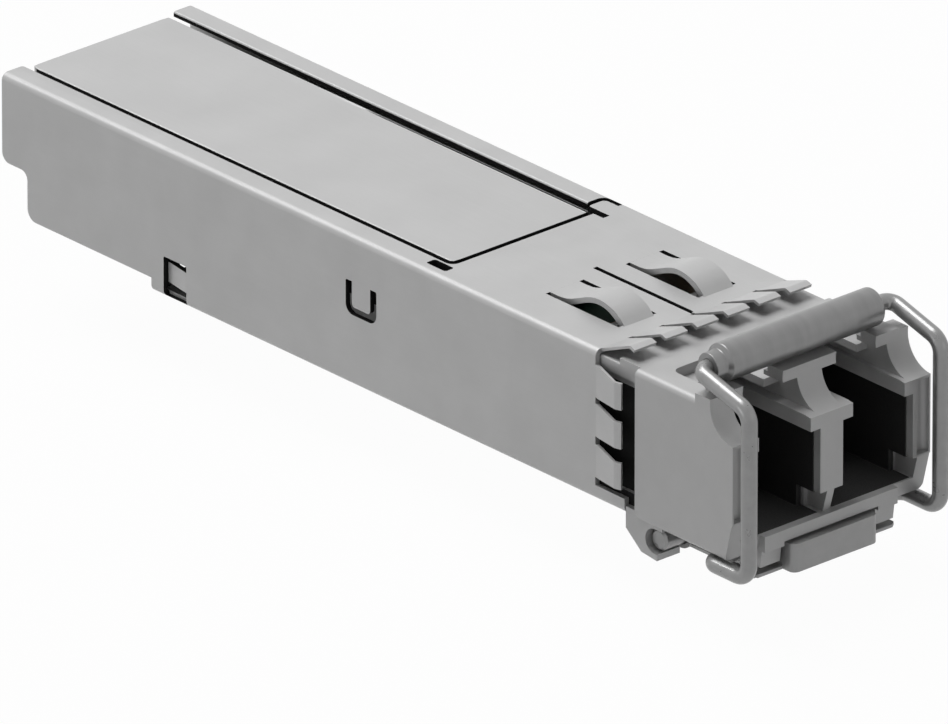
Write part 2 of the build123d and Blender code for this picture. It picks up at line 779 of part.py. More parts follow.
def chin(body):
    """Lean the lower front back and hollow the front edges of the side walls."""
    lean = [
        (NOSE_F1 + 1, CHIN_Z),
        (NOSE_F1 - 0.05, CHIN_Z),
        (NOSE_F1 - CHIN_BACK, 0),
        (NOSE_F1 - CHIN_BACK, -0.2),
        (NOSE_F1 + 1, -0.2),
    ]
    side_lean = across(lean, BELLY_HALF_W, NOSE_HALF_W + 1)
    foot = [
        (NOSE_F1 + 1, CHIN_Z),
        (NOSE_F1 - 0.05, CHIN_Z),
        (NOSE_F1 - 0.4, PORT_Z0),
        (NOSE_F1 + 1, PORT_Z0),
    ]
    foot_lean = across(foot, -WEB_HALF, WEB_HALF)
    foot_side = block(WEB_FOOT_HALF, WEB_HALF + 0.1, NOSE_F1 - 1.6, NOSE_F1 + 1, PORT_Z0, CHIN_Z)
    groove_z0 = CHIN_Z + 0.1
    groove_z1 = RAIL_Z1 - 0.2
    groove = Pos(GROOVE_X, -NOSE_F1, (groove_z0 + groove_z1) / 2) * Cylinder(
        GROOVE_R, groove_z1 - groove_z0
    )
    pocket = block(PORT_OUT_X - 0.1, PORT_OUT_X + 0.36, NOSE_F1 - 1.8, NOSE_F1 + 1, PORT_Z0, CHIN_Z)
    body -= foot_lean
    for cut in (side_lean, foot_side, groove, pocket):
        for opening in both_sides(cut):
            body -= opening
    return body


# port liner
def make_port_liner():
    parts = None
    relief_f = LINER_F1 - LINER_RELIEF_LEN
    front = NOSE_F1 + 1
    for side in (-1, 1):
        edges = [side * (WEB_HALF - LINER_WALL), side * (PORT_OUT_X + LINER_WALL)]
        x0 = min(edges) + LINER_FIT
        x1 = max(edges) - LINER_FIT
        z0 = PORT_Z0 - LINER_FLOOR + LINER_FIT
        tub = block(x0, x1, LINER_F0, LINER_F1 - LINER_FIT, z0, RAIL_Z0 - LINER_FIT)
        tub -= block(x0 + LINER_WALL, x1 - LINER_WALL, LINER_BACK_F1, front, PORT_Z0, RAIL_Z0 + 1)
        tub -= rod_along(
            SNOUT_R + BARREL_CLEAR, LINER_F0 - 1, LINER_BACK_F1 + 1, side * PORT_X, PORT_Z
        )
        tub -= block(x0 - 1, x0 + LINER_WALL, relief_f, front, PORT_Z0, LINER_RELIEF_Z)
        tub -= block(x1 - LINER_WALL, x1 + 1, relief_f, front, PORT_Z0, LINER_RELIEF_Z)
        parts = tub if parts is None else parts + tub
    return parts


# optics
def make_barrel(side):
    x = side * PORT_X
    steps = [
        (BARREL_R, BARREL_F0, GROOVE_F0),
        (BARREL_NECK_R, GROOVE_F0 - 0.1, GROOVE_F1 + 0.1),
        (BARREL_R, GROOVE_F1, SNOUT_F0),
        (SNOUT_R, SNOUT_F0 - 0.1, SNOUT_F1),
    ]
    barrel = None
    for radius, f0, f1 in steps:
        piece = rod_along(radius, f0, f1, x, PORT_Z)
        barrel = piece if barrel is None else barrel + piece
    barrel -= rod_along(SLEEVE_R, SNOUT_F0 + FIT_GAP, SNOUT_F1 - LEAD_IN, x, PORT_Z)
    barrel -= (
        Pos(x, LEAD_IN / 2 - SNOUT_F1, PORT_Z)
        * Rot(90, 0, 0)
        * Cone(FERRULE_R + 0.05, FERRULE_R + 0.05 + LEAD_IN, LEAD_IN)
    )
    tip = barrel.edges().filter_by(GeomType.CIRCLE).sort_by(Axis.Y)[:2]
    widest = [edge for edge in tip if edge.radius > SLEEVE_R]
    return chamfer(widest, 0.15)


def make_sleeve(side):
    x = side * PORT_X
    f0 = SNOUT_F0 + FIT_GAP
    f1 = SNOUT_F1 - LEAD_IN
    sleeve = rod_along(SLEEVE_R, f0, f1, x, PORT_Z) - rod_along(FERRULE_R, f0 - 1, f1 + 1, x, PORT_Z)
    return sleeve - block(x - SLEEVE_SLIT / 2, x + SLEEVE_SLIT / 2, f0 - 1, f1 + 1, PORT_Z, PORT_Z + 2)


def lead_places(x):
    """Where the header's leads stand, as (x, z)."""
    places = []
    for angle in (45, 135, 225, 315):
        turn = math.radians(angle)
        places.append((x + LEAD_CIRCLE_R * math.cos(turn), PORT_Z + LEAD_CIRCLE_R * math.sin(turn)))
    return places


def make_header(side):
    """Metal can header with its leads and the small key on its rim."""
    x = side * PORT_X
    back = BARREL_F0 - HEADER_T
    header = rod_along(HEADER_R, back, BARREL_F0, x, PORT_Z)
    header -= rod_along(0.4, back - 1, BARREL_F0 - 0.7, x, PORT_Z + HEADER_R)
    for lead_x, lead_z in lead_places(x):
        header += rod_along(LEAD_R, back - 0.9, BARREL_F0 - 0.2, lead_x, lead_z)
    return header


def make_flex(side):
    """Flexible circuit from the back of the header down onto the board."""
    x = side * PORT_X
    face = BARREL_F0 - HEADER_T
    board = BOARD_Z0 + BOARD_T
    low = board + 0.01
    side_points = [
        (face - 0.01, PORT_Z + 1.7),
        (face - 0.01, PORT_Z - 1.7),
        (face - 0.75, PORT_Z - 1.7),
        (face - 1.35, low),
        (face - 4.2, low),
        (face - 4.2, low + FLEX_T),
        (face - 1.28, low + FLEX_T),
        (face - 0.66, PORT_Z - 1.7 + FLEX_T),
        (face - 0.01 - FLEX_T, PORT_Z - 1.7 + FLEX_T),
        (face - 0.01 - FLEX_T, PORT_Z + 1.7),
    ]
    flex = across(side_points, x - FLEX_HALF_W, x + FLEX_HALF_W)
    hole = LEAD_R + 0.03
    for lead_x, lead_z in lead_places(x):
        flex -= block(lead_x - hole, lead_x + hole, face - 1.2, face + 1, lead_z - hole, lead_z + hole)
    return flex


def make_retainer():
    """Forked plate that drops into the grooves of both barrels."""
    f0 = RETAINER_F0
    z0 = CHANNEL_REAR_ROOF + 0.45
    half = RETAINER_HALF_W
    plate = block(-half, half, f0, f0 + RETAINER_T, z0, NECK_TOP - FIT_GAP)
    fork_r = BARREL_NECK_R + FIT_GAP
    for x in (-PORT_X, PORT_X):
        plate -= rod_along(fork_r, f0 - 1, f0 + 2, x, PORT_Z)
        plate -= block(x - fork_r, x + fork_r, f0 - 1, f0 + 2, z0 - 1, PORT_Z)
    return plate


# circuit board and what it carries
def make_circuit_board():
    plan = [
        (-BOARD_TONGUE_HALF_W, BOARD_F0),
        (BOARD_TONGUE_HALF_W, BOARD_F0),
        (BOARD_TONGUE_HALF_W, TONGUE_END),
        (BOARD_HALF_W, TONGUE_END),
        (BOARD_HALF_W, BOARD_F1),
        (-BOARD_HALF_W, BOARD_F1),
        (-BOARD_HALF_W, TONGUE_END),
        (-BOARD_TONGUE_HALF_W, TONGUE_END),
    ]
    board = upright(plan, BOARD_Z0, BOARD_Z0 + BOARD_T, [0.3, 0.3, 0.4, 0.3, 0.3, 0.3, 0.3, 0.4])
    for z, way in ((BOARD_Z0, 1), (BOARD_Z0 + BOARD_T, -1)):
        edge = [
            (BOARD_F0 - 0.1, z - way * 0.1),
            (BOARD_F0 + 0.4, z - way * 0.1),
            (BOARD_F0 + 0.3, z),
            (BOARD_F0 - 0.1, z + way * 0.25),
        ]
        board -= across(edge, -BOARD_HALF_W, BOARD_HALF_W)
    return board


def make_contact_pads():
    pads = []
    for z in (BOARD_Z0 - PAD_T, BOARD_Z0 + BOARD_T):
        for i in range(PAD_COUNT):
            x = (i - (PAD_COUNT - 1) / 2) * PAD_PITCH
            pads.append(block(x - PAD_W / 2, x + PAD_W / 2, PAD_F0, PAD_F0 + PAD_LEN, z, z + PAD_T))
    return Compound(children=[single(pad) for pad in pads])


def chip(x, f, width, length, height, lead_rows):
    """Moulded chip on the board with gull-wing leads on two sides."""
    base = BOARD_Z0 + BOARD_T
    body = block(x - width / 2, x + width / 2, f - length / 2, f + length / 2, base, base + height)
    body = chamfer(body.faces().sort_by(Axis.Z)[-1].edges(), 0.1)
    pitch = 0.65
    for i in range(lead_rows):
        lead_f = f + (i - (lead_rows - 1) / 2) * pitch
        for way in (-1, 1):
            x0 = x + way * (width / 2 - 0.05)
            x1 = x + way * (width / 2 + 0.35)
            body += block(min(x0, x1), max(x0, x1), lead_f - 0.12, lead_f + 0.12, base, base + 0.15)
    return body


def make_passives():
    base = BOARD_Z0 + BOARD_T
    pieces = []
    for x, f in PASSIVE_PLACES:
        x0 = x - PASSIVE_W / 2
        f0 = f - PASSIVE_LEN / 2
        pieces.append(single(block(x0, x0 + PASSIVE_W, f0, f0 + PASSIVE_LEN, base, base + 0.5)))
    return Compound(children=pieces)


def make_absorber_pad():
    under = COVER_TOP - COVER_T
    end = ABSORBER_F0 + ABSORBER_LEN
    plan = rectangle(-ABSORBER_HALF_W, ABSORBER_HALF_W, ABSORBER_F0, end)
    return upright(plan, under - ABSORBER_T, under, 0.4)


# bail
def bail_path():
    """Corner points and bend radii of the wire, from its left pin to its right one."""
    half = [
        (BAIL_PIN_X, BAIL_PIVOT_F, BAIL_PIVOT_Z),
        (BAIL_LEG_X, BAIL_PIVOT_F, BAIL_PIVOT_Z),
        (BAIL_LEG_X, BAIL_FRONT_F, BAIL_PIVOT_Z),
        (BAIL_LEG_X, BAIL_FRONT_F, BAIL_TOP_Z),
        (BAIL_LEG_X, BAR_F, BAR_Z),
    ]
    left = [(-x, -f, z) for x, f, z in half]
    right = [(x, -f, z) for x, f, z in reversed(half)]
    bends = [BAIL_PIVOT_BEND_R, BAIL_BEND_R, BAIL_BEND_R, BAIL_PIVOT_BEND_R]
    return left + right, bends + bends[::-1]


def make_bail_wire():
    points, radii = bail_path()
    path = FilletPolyline(*points, radius=radii)
    section = Plane(origin=points[0], z_dir=(-1, 0, 0)) * Circle(WIRE_R)
    wire = sweep(section, path=path)
    for piece in both_sides(cam()):
        wire += piece
    return wire


def cam():
    """Flattened paddle on the right pin that presses the lever's wing down."""
    hub = rod_across(WIRE_R + 0.05, CAM_X0, CAM_X1, BAIL_PIVOT_F, BAIL_PIVOT_Z)
    tip = rod_across(CAM_R, CAM_X0, CAM_X1, BAIL_PIVOT_F + CAM_REACH, BAIL_PIVOT_Z)
    web = block(
        CAM_X0,
        CAM_X1,
        BAIL_PIVOT_F,
        BAIL_PIVOT_F + CAM_REACH,
        BAIL_PIVOT_Z - CAM_R,
        BAIL_PIVOT_Z + CAM_R,
    )
    return hub + web + tip


def make_bail_sleeve():
    """Tube crimped on the wire's top bar, drawn in to a collar at its left end."""
    shoulder = GRIP_LEFT_X + GRIP_COLLAR_LEN
    edge = 0.2
    profile = [
        (GRIP_LEFT_X, WIRE_R),
        (GRIP_LEFT_X, GRIP_COLLAR_R),
        (shoulder, GRIP_COLLAR_R),
        (shoulder + edge, GRIP_R),
        (GRIP_RIGHT_X - edge, GRIP_R),
        (GRIP_RIGHT_X, GRIP_R - edge),
        (GRIP_RIGHT_X, WIRE_R),
    ]
    grip = revolve(outline(profile), axis=Axis.X, revolution_arc=360)
    return Pos(0, -BAR_F, BAR_Z) * grip


# latch
def make_latch_lever():
    plate_top = PLATE_Z0 + PLATE_T
    front = upright(
        rectangle(-BLOCK_HALF_W, BLOCK_HALF_W, BLOCK_F0, BLOCK_F1), PLATE_Z0, BLOCK_TOP, BLOCK_EDGE_R
    )
    plate = block(-PLATE_HALF_W, PLATE_HALF_W, HINGE_F, PLATE_F1, PLATE_Z0, plate_top)
    lever = front + plate
    wing_f0 = PLATE_F1 - 0.1 - WING_LEN
    wing = rectangle(PLATE_HALF_W - 0.3, WING_X1, wing_f0, wing_f0 + WING_LEN)
    for piece in both_sides(upright(wing, PLATE_Z0, plate_top, [0, 0.2, 0.2, 0])):
        lever += piece
    lever += rod_across(KNUCKLE_R, -KNUCKLE_HALF_W, KNUCKLE_HALF_W, HINGE_F, HINGE_Z)
    arm_low = -ARM_STEP_DROP
    arm = [
        (HINGE_F, arm_low),
        (ARM_STEP_F, arm_low),
        (ARM_STEP_F - 0.4, 0),
        (BOSS_SHOULDER_F - 0.2, 0),
        (BOSS_SHOULDER_F - 0.2, ARM_T),
        (ARM_STEP_F - 0.4, ARM_T),
        (ARM_STEP_F, arm_low + ARM_T),
        (HINGE_F, arm_low + ARM_T),
    ]
    lever += across(arm, -ARM_HALF_W, ARM_HALF_W)
    boss = [
        (BOSS_SHOULDER_F, ARM_T),
        (BOSS_SHOULDER_F, -BOSS_DEPTH),
        (BOSS_SHOULDER_F - 0.3, -BOSS_DEPTH),
        (BOSS_TIP_F, 0.1),
        (BOSS_TIP_F, ARM_T),
    ]
    lever += across(boss, -BOSS_W / 2, BOSS_W / 2)
    return lever - rod_across(PIN_R + PIN_CLEAR, -8, 8, HINGE_F, HINGE_Z)


def make_lever_pin():
    tip = EAR_X1 - 0.3
    pin = rod_across(PIN_R, -tip, tip, HINGE_F, HINGE_Z)
    return chamfer(pin.edges().filter_by(GeomType.CIRCLE), 0.12)


def make_lever_spring():
    """Bowed leaf between the channel's roof and the lever's arm."""
    low = ARM_T - ARM_STEP_DROP + 0.02
    high = CHANNEL_ROOF - SPRING_T - 0.01
    f0 = SPRING_F0
    f1 = SPRING_F0 + SPRING_LEN
    middle = (f0 + f1) / 2
    lower = ThreePointArc((f0, high), (middle, low), (f1, high))
    upper = ThreePointArc((f0, high + SPRING_T), (middle, low + SPRING_T), (f1, high + SPRING_T))
    lines = [Line((f, high), (f, high + SPRING_T)) for f in (f0, f1)]
    face = SIDE * make_face([upper, lower] + lines)
    return extrude(Pos(SPRING_HALF_W, 0, 0) * face, amount=2 * SPRING_HALF_W, dir=(-1, 0, 0))


def all_pieces():
    return {
        "shell": make_shell(),
        "top_cover": make_top_cover(),
        "base_tray": make_base_tray(),
        "port_housing": make_port_housing(),
        "port_liner": make_port_liner(),
        "tx_barrel": make_barrel(-1),
        "rx_barrel": make_barrel(1),
        "tx_ferrule_sleeve": make_sleeve(-1),
        "rx_ferrule_sleeve": make_sleeve(1),
        "tx_header": make_header(-1),
        "rx_header": make_header(1),
        "tx_flex": make_flex(-1),
        "rx_flex": make_flex(1),
        "barrel_retainer": make_retainer(),
        "circuit_board": make_circuit_board(),
        "contact_pads": make_contact_pads(),
        "driver_chip": chip(-DRIVER_X, DRIVER_F, 3.0, 3.4, 0.9, 4),
        "receiver_chip": chip(DRIVER_X, DRIVER_F, 3.0, 3.4, 0.9, 4),
        "controller_chip": chip(0, CONTROLLER_F, 4.6, 4.6, 1.1, 6),
        "memory_chip": chip(MEMORY_X, MEMORY_F, 1.6, 2.2, 0.8, 2),
        "passives": make_passives(),
        "absorber_pad": make_absorber_pad(),
        "bail_wire": make_bail_wire(),
        "bail_sleeve": make_bail_sleeve(),
        "latch_lever": make_latch_lever(),
        "lever_pin": make_lever_pin(),
        "lever_spring": make_lever_spring(),
    }


os.makedirs("parts", exist_ok=True)
for name, piece in all_pieces().items():
    export_step(SHIFT * piece, f"parts/{name}.step")
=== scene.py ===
import json
import math

import bmesh
import bpy
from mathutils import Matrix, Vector


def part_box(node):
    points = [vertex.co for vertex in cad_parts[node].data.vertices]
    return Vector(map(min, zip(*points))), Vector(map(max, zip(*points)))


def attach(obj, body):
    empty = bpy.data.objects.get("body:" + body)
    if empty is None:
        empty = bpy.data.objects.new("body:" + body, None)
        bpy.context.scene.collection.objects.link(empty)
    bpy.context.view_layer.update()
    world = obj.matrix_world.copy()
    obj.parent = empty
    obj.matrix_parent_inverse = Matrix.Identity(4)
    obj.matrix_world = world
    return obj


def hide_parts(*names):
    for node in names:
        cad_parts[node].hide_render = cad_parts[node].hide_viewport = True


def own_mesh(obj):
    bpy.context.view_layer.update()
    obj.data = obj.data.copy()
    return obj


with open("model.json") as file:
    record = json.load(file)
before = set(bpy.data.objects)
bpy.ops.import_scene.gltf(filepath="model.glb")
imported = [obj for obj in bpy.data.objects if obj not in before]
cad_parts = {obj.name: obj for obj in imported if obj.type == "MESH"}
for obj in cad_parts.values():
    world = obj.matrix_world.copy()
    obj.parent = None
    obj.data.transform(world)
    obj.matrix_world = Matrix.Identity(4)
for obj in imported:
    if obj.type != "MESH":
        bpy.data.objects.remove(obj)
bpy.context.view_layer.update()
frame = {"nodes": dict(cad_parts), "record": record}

MM = 0.001

# The photograph's view, solved from the body's long edges. The angles are in degrees, the
# point looked at, the lens and the sensor in millimetres and the clips in metres.
VIEW_AZIMUTH = -41.68
VIEW_ELEVATION = 24.63
PIXELS_PER_MM = 19.265
PHOTO_WIDTH = 948
LOOK_AT = (0.115, -0.135, 1.763)
LENS = 1300
SENSOR = 36
NEAR_CLIP = 0.05
FAR_CLIP = 10

# Widths of the small roundings, in millimetres, and the angle from which an edge gets one.
CAST_EDGE = 0.06
SLEEVE_EDGE = 0.05
MOULDED_EDGE = 0.04
SHEET_EDGE = 0.035
STRIP_EDGE = 0.03
EDGE_SEGMENTS = 2
CREASE_ANGLE = 32

# Points nearer than this, in metres, are one point, and triangles whose angle is under this
# many degrees are one flat face.
MERGE_DISTANCE = 1e-7
FLAT_ANGLE = 0.5

# The part of a noise pattern's range that a colour or gloss drifts over, and the relief's strength.
PATTERN_LOW = 0.3
PATTERN_HIGH = 0.7
GRAIN_STRENGTH = 0.5

# Strength of the light from the white surroundings, and the share of plain white in what the
# floor shows.
AMBIENT = 0.1
FLOOR_WHITE = 0.97

# The floor's half width in metres, and its depth in millimetres. The opened bail swings lower
# than the module's feet, so the floor lies under its reach.
FLOOR_HALF = 3
FLOOR_DROP = 2.3

# Each lamp's direction from the module, its distance and width in metres and its watts.
LAMPS = {
    "top_lamp": ((-0.05, 0.35, 1), 0.5, 0.3, 1.95),
    "left_lamp": ((-1, 0.15, 0.12), 0.5, 0.2, 0.22),
    "front_lamp": ((0.3, -1, 0.35), 0.6, 0.2, 0.1),
    "fold_lamp": ((-0.3, 0.66, 0.68), 0.6, 0.05, 0.3),
}


def high(node):
    """Highest corner of a CAD node's box."""
    return Vector(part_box(node)[1])


# Where the forms lie, in millimetres: across from the module's middle, along from its rear
# edge and up from its bottom plate. A pair of values is a span. A point within NEAR of a line
# lies on it, and the normal of a cut wall points out of its sheet by less than STEEP.
REAR_EDGE = high("shell").y / MM
PLATE_HEIGHT = 1.85
NEAR = 0.02
STEEP = 0.5

# The cover, whose walls come in, whose top goes up and whose front wall goes forward.
COVER_HALF = 4.95
COVER_TOP = 8.3
COVER_ROUND = 0.3
COVER_FOOT = 3.5
COVER_ROOF = 7.5
COVER_REAR = 0.5
COVER_FRONT = 32.4
COVER_SIDE = (4, 5.2)
COVER_SLACK = 0.01
NARROW_HALF = 4.75
ROUND_CUT = 3
COVER_LIFT = 0.1
COVER_REACH = 0.2

# The top sheet, its window, its slit and the heights of its cut edges.
SHEET_TOP = 8.5
SHEET_UNDERSIDE = 8.1
WINDOW_HALF = 5.25
WINDOW_EDGE = 0.1
WINDOW_SEGMENTS = 3
LONG_EDGE = 5
SLIT_HALF = 0.3
SLIT_REAR = (36, 40)
SLIT_SHIFT = 0.45
CUT_UP = (8.15, 8.41)
CUT_ALONG = (0.1, 45.6)
CUT_HALF = 6.6

# The side sheets: the U-shaped slots with their tongues, and the windows with their tabs.
SIDE_SHEET = 6.35
SLOT_ALONG = (26.7, 29.4)
SLOT_WALLS = (26.6, 29.6)
SLOT_UP = (3.9, 6.1)
SLOT_MIDDLE = 28.05
SLOT_SHIFT = 0.28
TONGUE_HALF = 0.9
TONGUE_FOOT = 4.3
TONGUE_TIP = 4.75
TONGUE_SHRINK = 0.15
TONGUE_LIFT = 0.1
SIDE_WINDOW_ALONG = (12.6, 14.9)
SIDE_WINDOW_TOP = 2.5
TAB_SIDE = (6, 6.6)
TAB_UP = (0.8, 2.1)
TAB_TIP = 13.4
TAB_NEAR = 0.05
TAB_REACH = 0.5

# The casting: the openings over its ports, and the hollow of its neck.
ROOF_EDGE = 53.5
ROOF_UP = (7.3, 8)
ROOF_SIDE = (1.8, 4.65)
ROOF_SHIFT = 1.5
HOLLOW_ALONG = (46.4, 49.72)
HOLLOW_UP = (1.1, 7.0)
HOLLOW_HALF = 6.5


# finishes
def new_finish(name, colour, metallic, roughness):
    """Material with its plain colour and gloss set on the shader itself."""
    material = bpy.data.materials.new(name)
    material.use_nodes = True
    shader = material.node_tree.nodes["Principled BSDF"]
    shader.inputs["Base Color"].default_value = (*colour, 1)
    shader.inputs["Metallic"].default_value = metallic
    shader.inputs["Roughness"].default_value = roughness
    return material


def pattern_space(material, stretch=(1, 1, 1)):
    """Object coordinates in millimetres, stretched along the grain."""
    tree = material.node_tree
    coordinates = tree.nodes.new("ShaderNodeTexCoord")
    mapping = tree.nodes.new("ShaderNodeMapping")
    mapping.inputs["Scale"].default_value = [share / MM for share in stretch]
    tree.links.new(coordinates.outputs["Object"], mapping.inputs["Vector"])
    return mapping.outputs["Vector"]


def noise(material, space, scale, detail=3.0):
    """Soft cloudy pattern with about scale clouds a millimetre."""
    tree = material.node_tree
    cloud = tree.nodes.new("ShaderNodeTexNoise")
    cloud.inputs["Scale"].default_value = scale
    cloud.inputs["Detail"].default_value = detail
    tree.links.new(space, cloud.inputs["Vector"])
    return cloud.outputs["Fac"]


def vary_colour(material, pattern, dark, light):
    """Colour that drifts between two near shades over the surface."""
    tree = material.node_tree
    ramp = tree.nodes.new("ShaderNodeValToRGB")
    ramp.color_ramp.elements[0].position = PATTERN_LOW
    ramp.color_ramp.elements[0].color = (*dark, 1)
    ramp.color_ramp.elements[1].position = PATTERN_HIGH
    ramp.color_ramp.elements[1].color = (*light, 1)
    tree.links.new(pattern, ramp.inputs["Fac"])
    shader = tree.nodes["Principled BSDF"]
    tree.links.new(ramp.outputs["Color"], shader.inputs["Base Color"])


def vary_gloss(material, pattern, smooth, rough):
    """Roughness that drifts between two values."""
    tree = material.node_tree
    spread = tree.nodes.new("ShaderNodeMapRange")
    spread.inputs["From Min"].default_value = PATTERN_LOW
    spread.inputs["From Max"].default_value = PATTERN_HIGH
    spread.inputs["To Min"].default_value = smooth
    spread.inputs["To Max"].default_value = rough
    tree.links.new(pattern, spread.inputs["Value"])
    shader = tree.nodes["Principled BSDF"]
    tree.links.new(spread.outputs["Result"], shader.inputs["Roughness"])


def raise_grain(material, pattern, height):
    """Fine relief, its height given in millimetres."""
    tree = material.node_tree
    bump = tree.nodes.new("ShaderNodeBump")
    bump.inputs["Strength"].default_value = GRAIN_STRENGTH
    bump.inputs["Distance"].default_value = height * MM
    tree.links.new(pattern, bump.inputs["Height"])
    shader = tree.nodes["Principled BSDF"]
    tree.links.new(bump.outputs["Normal"], shader.inputs["Normal"])


def grey(level):
    """Colour with the same level in red, green and blue."""
    return (level, level, level)


def rolled_sheet():
    """Plated sheet with faint rolling lines along the module."""
    sheet = new_finish("rolled_sheet", grey(0.5), metallic=0.25, roughness=0.42)
    lines = noise(sheet, pattern_space(sheet, stretch=(6, 0.15, 6)), scale=1.5)
    clouds = noise(sheet, pattern_space(sheet), scale=0.35)
    vary_colour(sheet, clouds, dark=grey(0.485), light=grey(0.52))
    vary_gloss(sheet, lines, smooth=0.38, rough=0.48)
    raise_grain(sheet, lines, height=0.002)
    return sheet


def stamped_cover():
    """Plated cover, a little smoother than the shell."""
    cover = new_finish("stamped_cover", grey(0.5), metallic=0.25, roughness=0.38)
    lines = noise(cover, pattern_space(cover, stretch=(5, 0.2, 5)), scale=1.2)
    clouds = noise(cover, pattern_space(cover), scale=0.2)
    vary_colour(cover, clouds, dark=grey(0.49), light=grey(0.525))
    vary_gloss(cover, lines, smooth=0.34, rough=0.44)
    raise_grain(cover, lines, height=0.0015)
    return cover


def plated_casting():
    """Die casting with a fine satin skin."""
    cast = new_finish("plated_casting", grey(0.48), metallic=0.2, roughness=0.45)
    skin = noise(cast, pattern_space(cast), scale=9, detail=5)
    clouds = noise(cast, pattern_space(cast), scale=0.5)
    vary_colour(cast, clouds, dark=grey(0.465), light=grey(0.5))
    vary_gloss(cast, clouds, smooth=0.4, rough=0.5)
    raise_grain(cast, skin, height=0.003)
    return cast


def black_moulding():
    """Matt black plastic with a spark-eroded skin."""
    plastic = new_finish("black_moulding", grey(0.004), metallic=0.0, roughness=0.6)
    skin = noise(plastic, pattern_space(plastic), scale=14, detail=4)
    vary_colour(plastic, skin, dark=grey(0.003), light=grey(0.006))
    vary_gloss(plastic, skin, smooth=0.5, rough=0.7)
    raise_grain(plastic, skin, height=0.004)
    return plastic


def satin_wire():
    """Drawn spring wire with a satin skin."""
    wire = new_finish("satin_wire", grey(0.3), metallic=0.45, roughness=0.3)
    scuffs = noise(wire, pattern_space(wire), scale=1.5)
    vary_colour(wire, scuffs, dark=grey(0.285), light=grey(0.32))
    vary_gloss(wire, scuffs, smooth=0.27, rough=0.34)
    raise_grain(wire, scuffs, height=0.0005)
    return wire


def dark_sleeve():
    """Turned dark metal sleeve of the bail's grip."""
    sleeve = new_finish("dark_sleeve", grey(0.25), metallic=0.6, roughness=0.32)
    rings = noise(sleeve, pattern_space(sleeve, stretch=(1.2, 0.2, 0.2)), scale=1.5)
    vary_colour(sleeve, rings, dark=grey(0.235), light=grey(0.265))
    vary_gloss(sleeve, rings, smooth=0.29, rough=0.36)
    raise_grain(sleeve, rings, height=0.001)
    return sleeve


def painted_shade_edge():
    """Painted shade: a near-black, dull finish laid on cut edges and gap walls where shade falls."""
    edge = new_finish("painted_shade_edge", grey(0.008), metallic=0.0, roughness=0.85)
    shader = edge.node_tree.nodes["Principled BSDF"]
    # The painted shade reflects little, so that the gaps stay dark.
    shader.inputs["Specular IOR Level"].default_value = 0.15
    skin = noise(edge, pattern_space(edge), scale=6, detail=4)
    vary_colour(edge, skin, dark=grey(0.006), light=grey(0.012))
    vary_gloss(edge, skin, smooth=0.8, rough=0.9)
    return edge


def painted_shade_casting():
    """Casting of the tray inside, painted near black as the shade inside the module."""
    cast = new_finish("painted_shade_casting", grey(0.03), metallic=0.1, roughness=0.6)
    skin = noise(cast, pattern_space(cast), scale=9, detail=5)
    vary_colour(cast, skin, dark=grey(0.022), light=grey(0.04))
    vary_gloss(cast, skin, smooth=0.5, rough=0.7)
    raise_grain(cast, skin, height=0.003)
    return cast


def latch_plate_metal():
    """Stamped and plated latch metal."""
    metal = new_finish("latch_plate_metal", grey(0.4), metallic=0.25, roughness=0.42)
    lines = noise(metal, pattern_space(metal, stretch=(0.3, 4, 4)), scale=1.5)
    clouds = noise(metal, pattern_space(metal), scale=0.6)
    vary_colour(metal, clouds, dark=grey(0.38), light=grey(0.43))
    vary_gloss(metal, lines, smooth=0.38, rough=0.48)
    raise_grain(metal, lines, height=0.002)
    return metal


def turned_steel():
    """Turned barrel with fine tool rings."""
    steel = new_finish("turned_steel", grey(0.3), metallic=0.9, roughness=0.3)
    rings = noise(steel, pattern_space(steel, stretch=(0.2, 9, 0.2)), scale=1.2)
    vary_colour(steel, rings, dark=grey(0.26), light=grey(0.34))
    vary_gloss(steel, rings, smooth=0.25, rough=0.35)
    raise_grain(steel, rings, height=0.002)
    return steel


def ground_ceramic():
    """White split sleeve, ground smooth."""
    ceramic = new_finish("ground_ceramic", (0.8, 0.78, 0.72), metallic=0.0, roughness=0.2)
    clouds = noise(ceramic, pattern_space(ceramic), scale=3)
    vary_colour(ceramic, clouds, dark=(0.76, 0.74, 0.68), light=(0.84, 0.82, 0.77))
    vary_gloss(ceramic, clouds, smooth=0.16, rough=0.26)
    return ceramic


def gold_plate():
    """Gold plating of the contact pads and can headers."""
    gold = new_finish("gold_plate", (0.75, 0.5, 0.18), metallic=0.95, roughness=0.25)
    clouds = noise(gold, pattern_space(gold), scale=5)
    vary_colour(gold, clouds, dark=(0.7, 0.45, 0.15), light=(0.8, 0.55, 0.22))
    vary_gloss(gold, clouds, smooth=0.2, rough=0.32)
    return gold


def amber_film():
    """Clear brown film of the flexible circuits."""
    film = new_finish("amber_film", (0.4, 0.16, 0.03), metallic=0.0, roughness=0.3)
    clouds = noise(film, pattern_space(film), scale=2)
    vary_colour(film, clouds, dark=(0.36, 0.14, 0.025), light=(0.46, 0.2, 0.04))
    vary_gloss(film, clouds, smooth=0.25, rough=0.38)
    return film


def green_laminate():
    """Solder mask over woven laminate."""
    board = new_finish("green_laminate", (0.003, 0.018, 0.009), metallic=0.0, roughness=0.4)
    weave = noise(board, pattern_space(board, stretch=(3, 3, 1)), scale=3)
    vary_colour(board, weave, dark=(0.002, 0.014, 0.007), light=(0.004, 0.023, 0.011))
    vary_gloss(board, weave, smooth=0.36, rough=0.48)
    raise_grain(board, weave, height=0.003)
    return board


def chip_resin():
    """Black moulded resin of the chips."""
    resin = new_finish("chip_resin", grey(0.02), metallic=0.0, roughness=0.55)
    skin = noise(resin, pattern_space(resin), scale=12, detail=4)
    vary_colour(resin, skin, dark=grey(0.016), light=grey(0.028))
    vary_gloss(resin, skin, smooth=0.5, rough=0.65)
    raise_grain(resin, skin, height=0.003)
    return resin


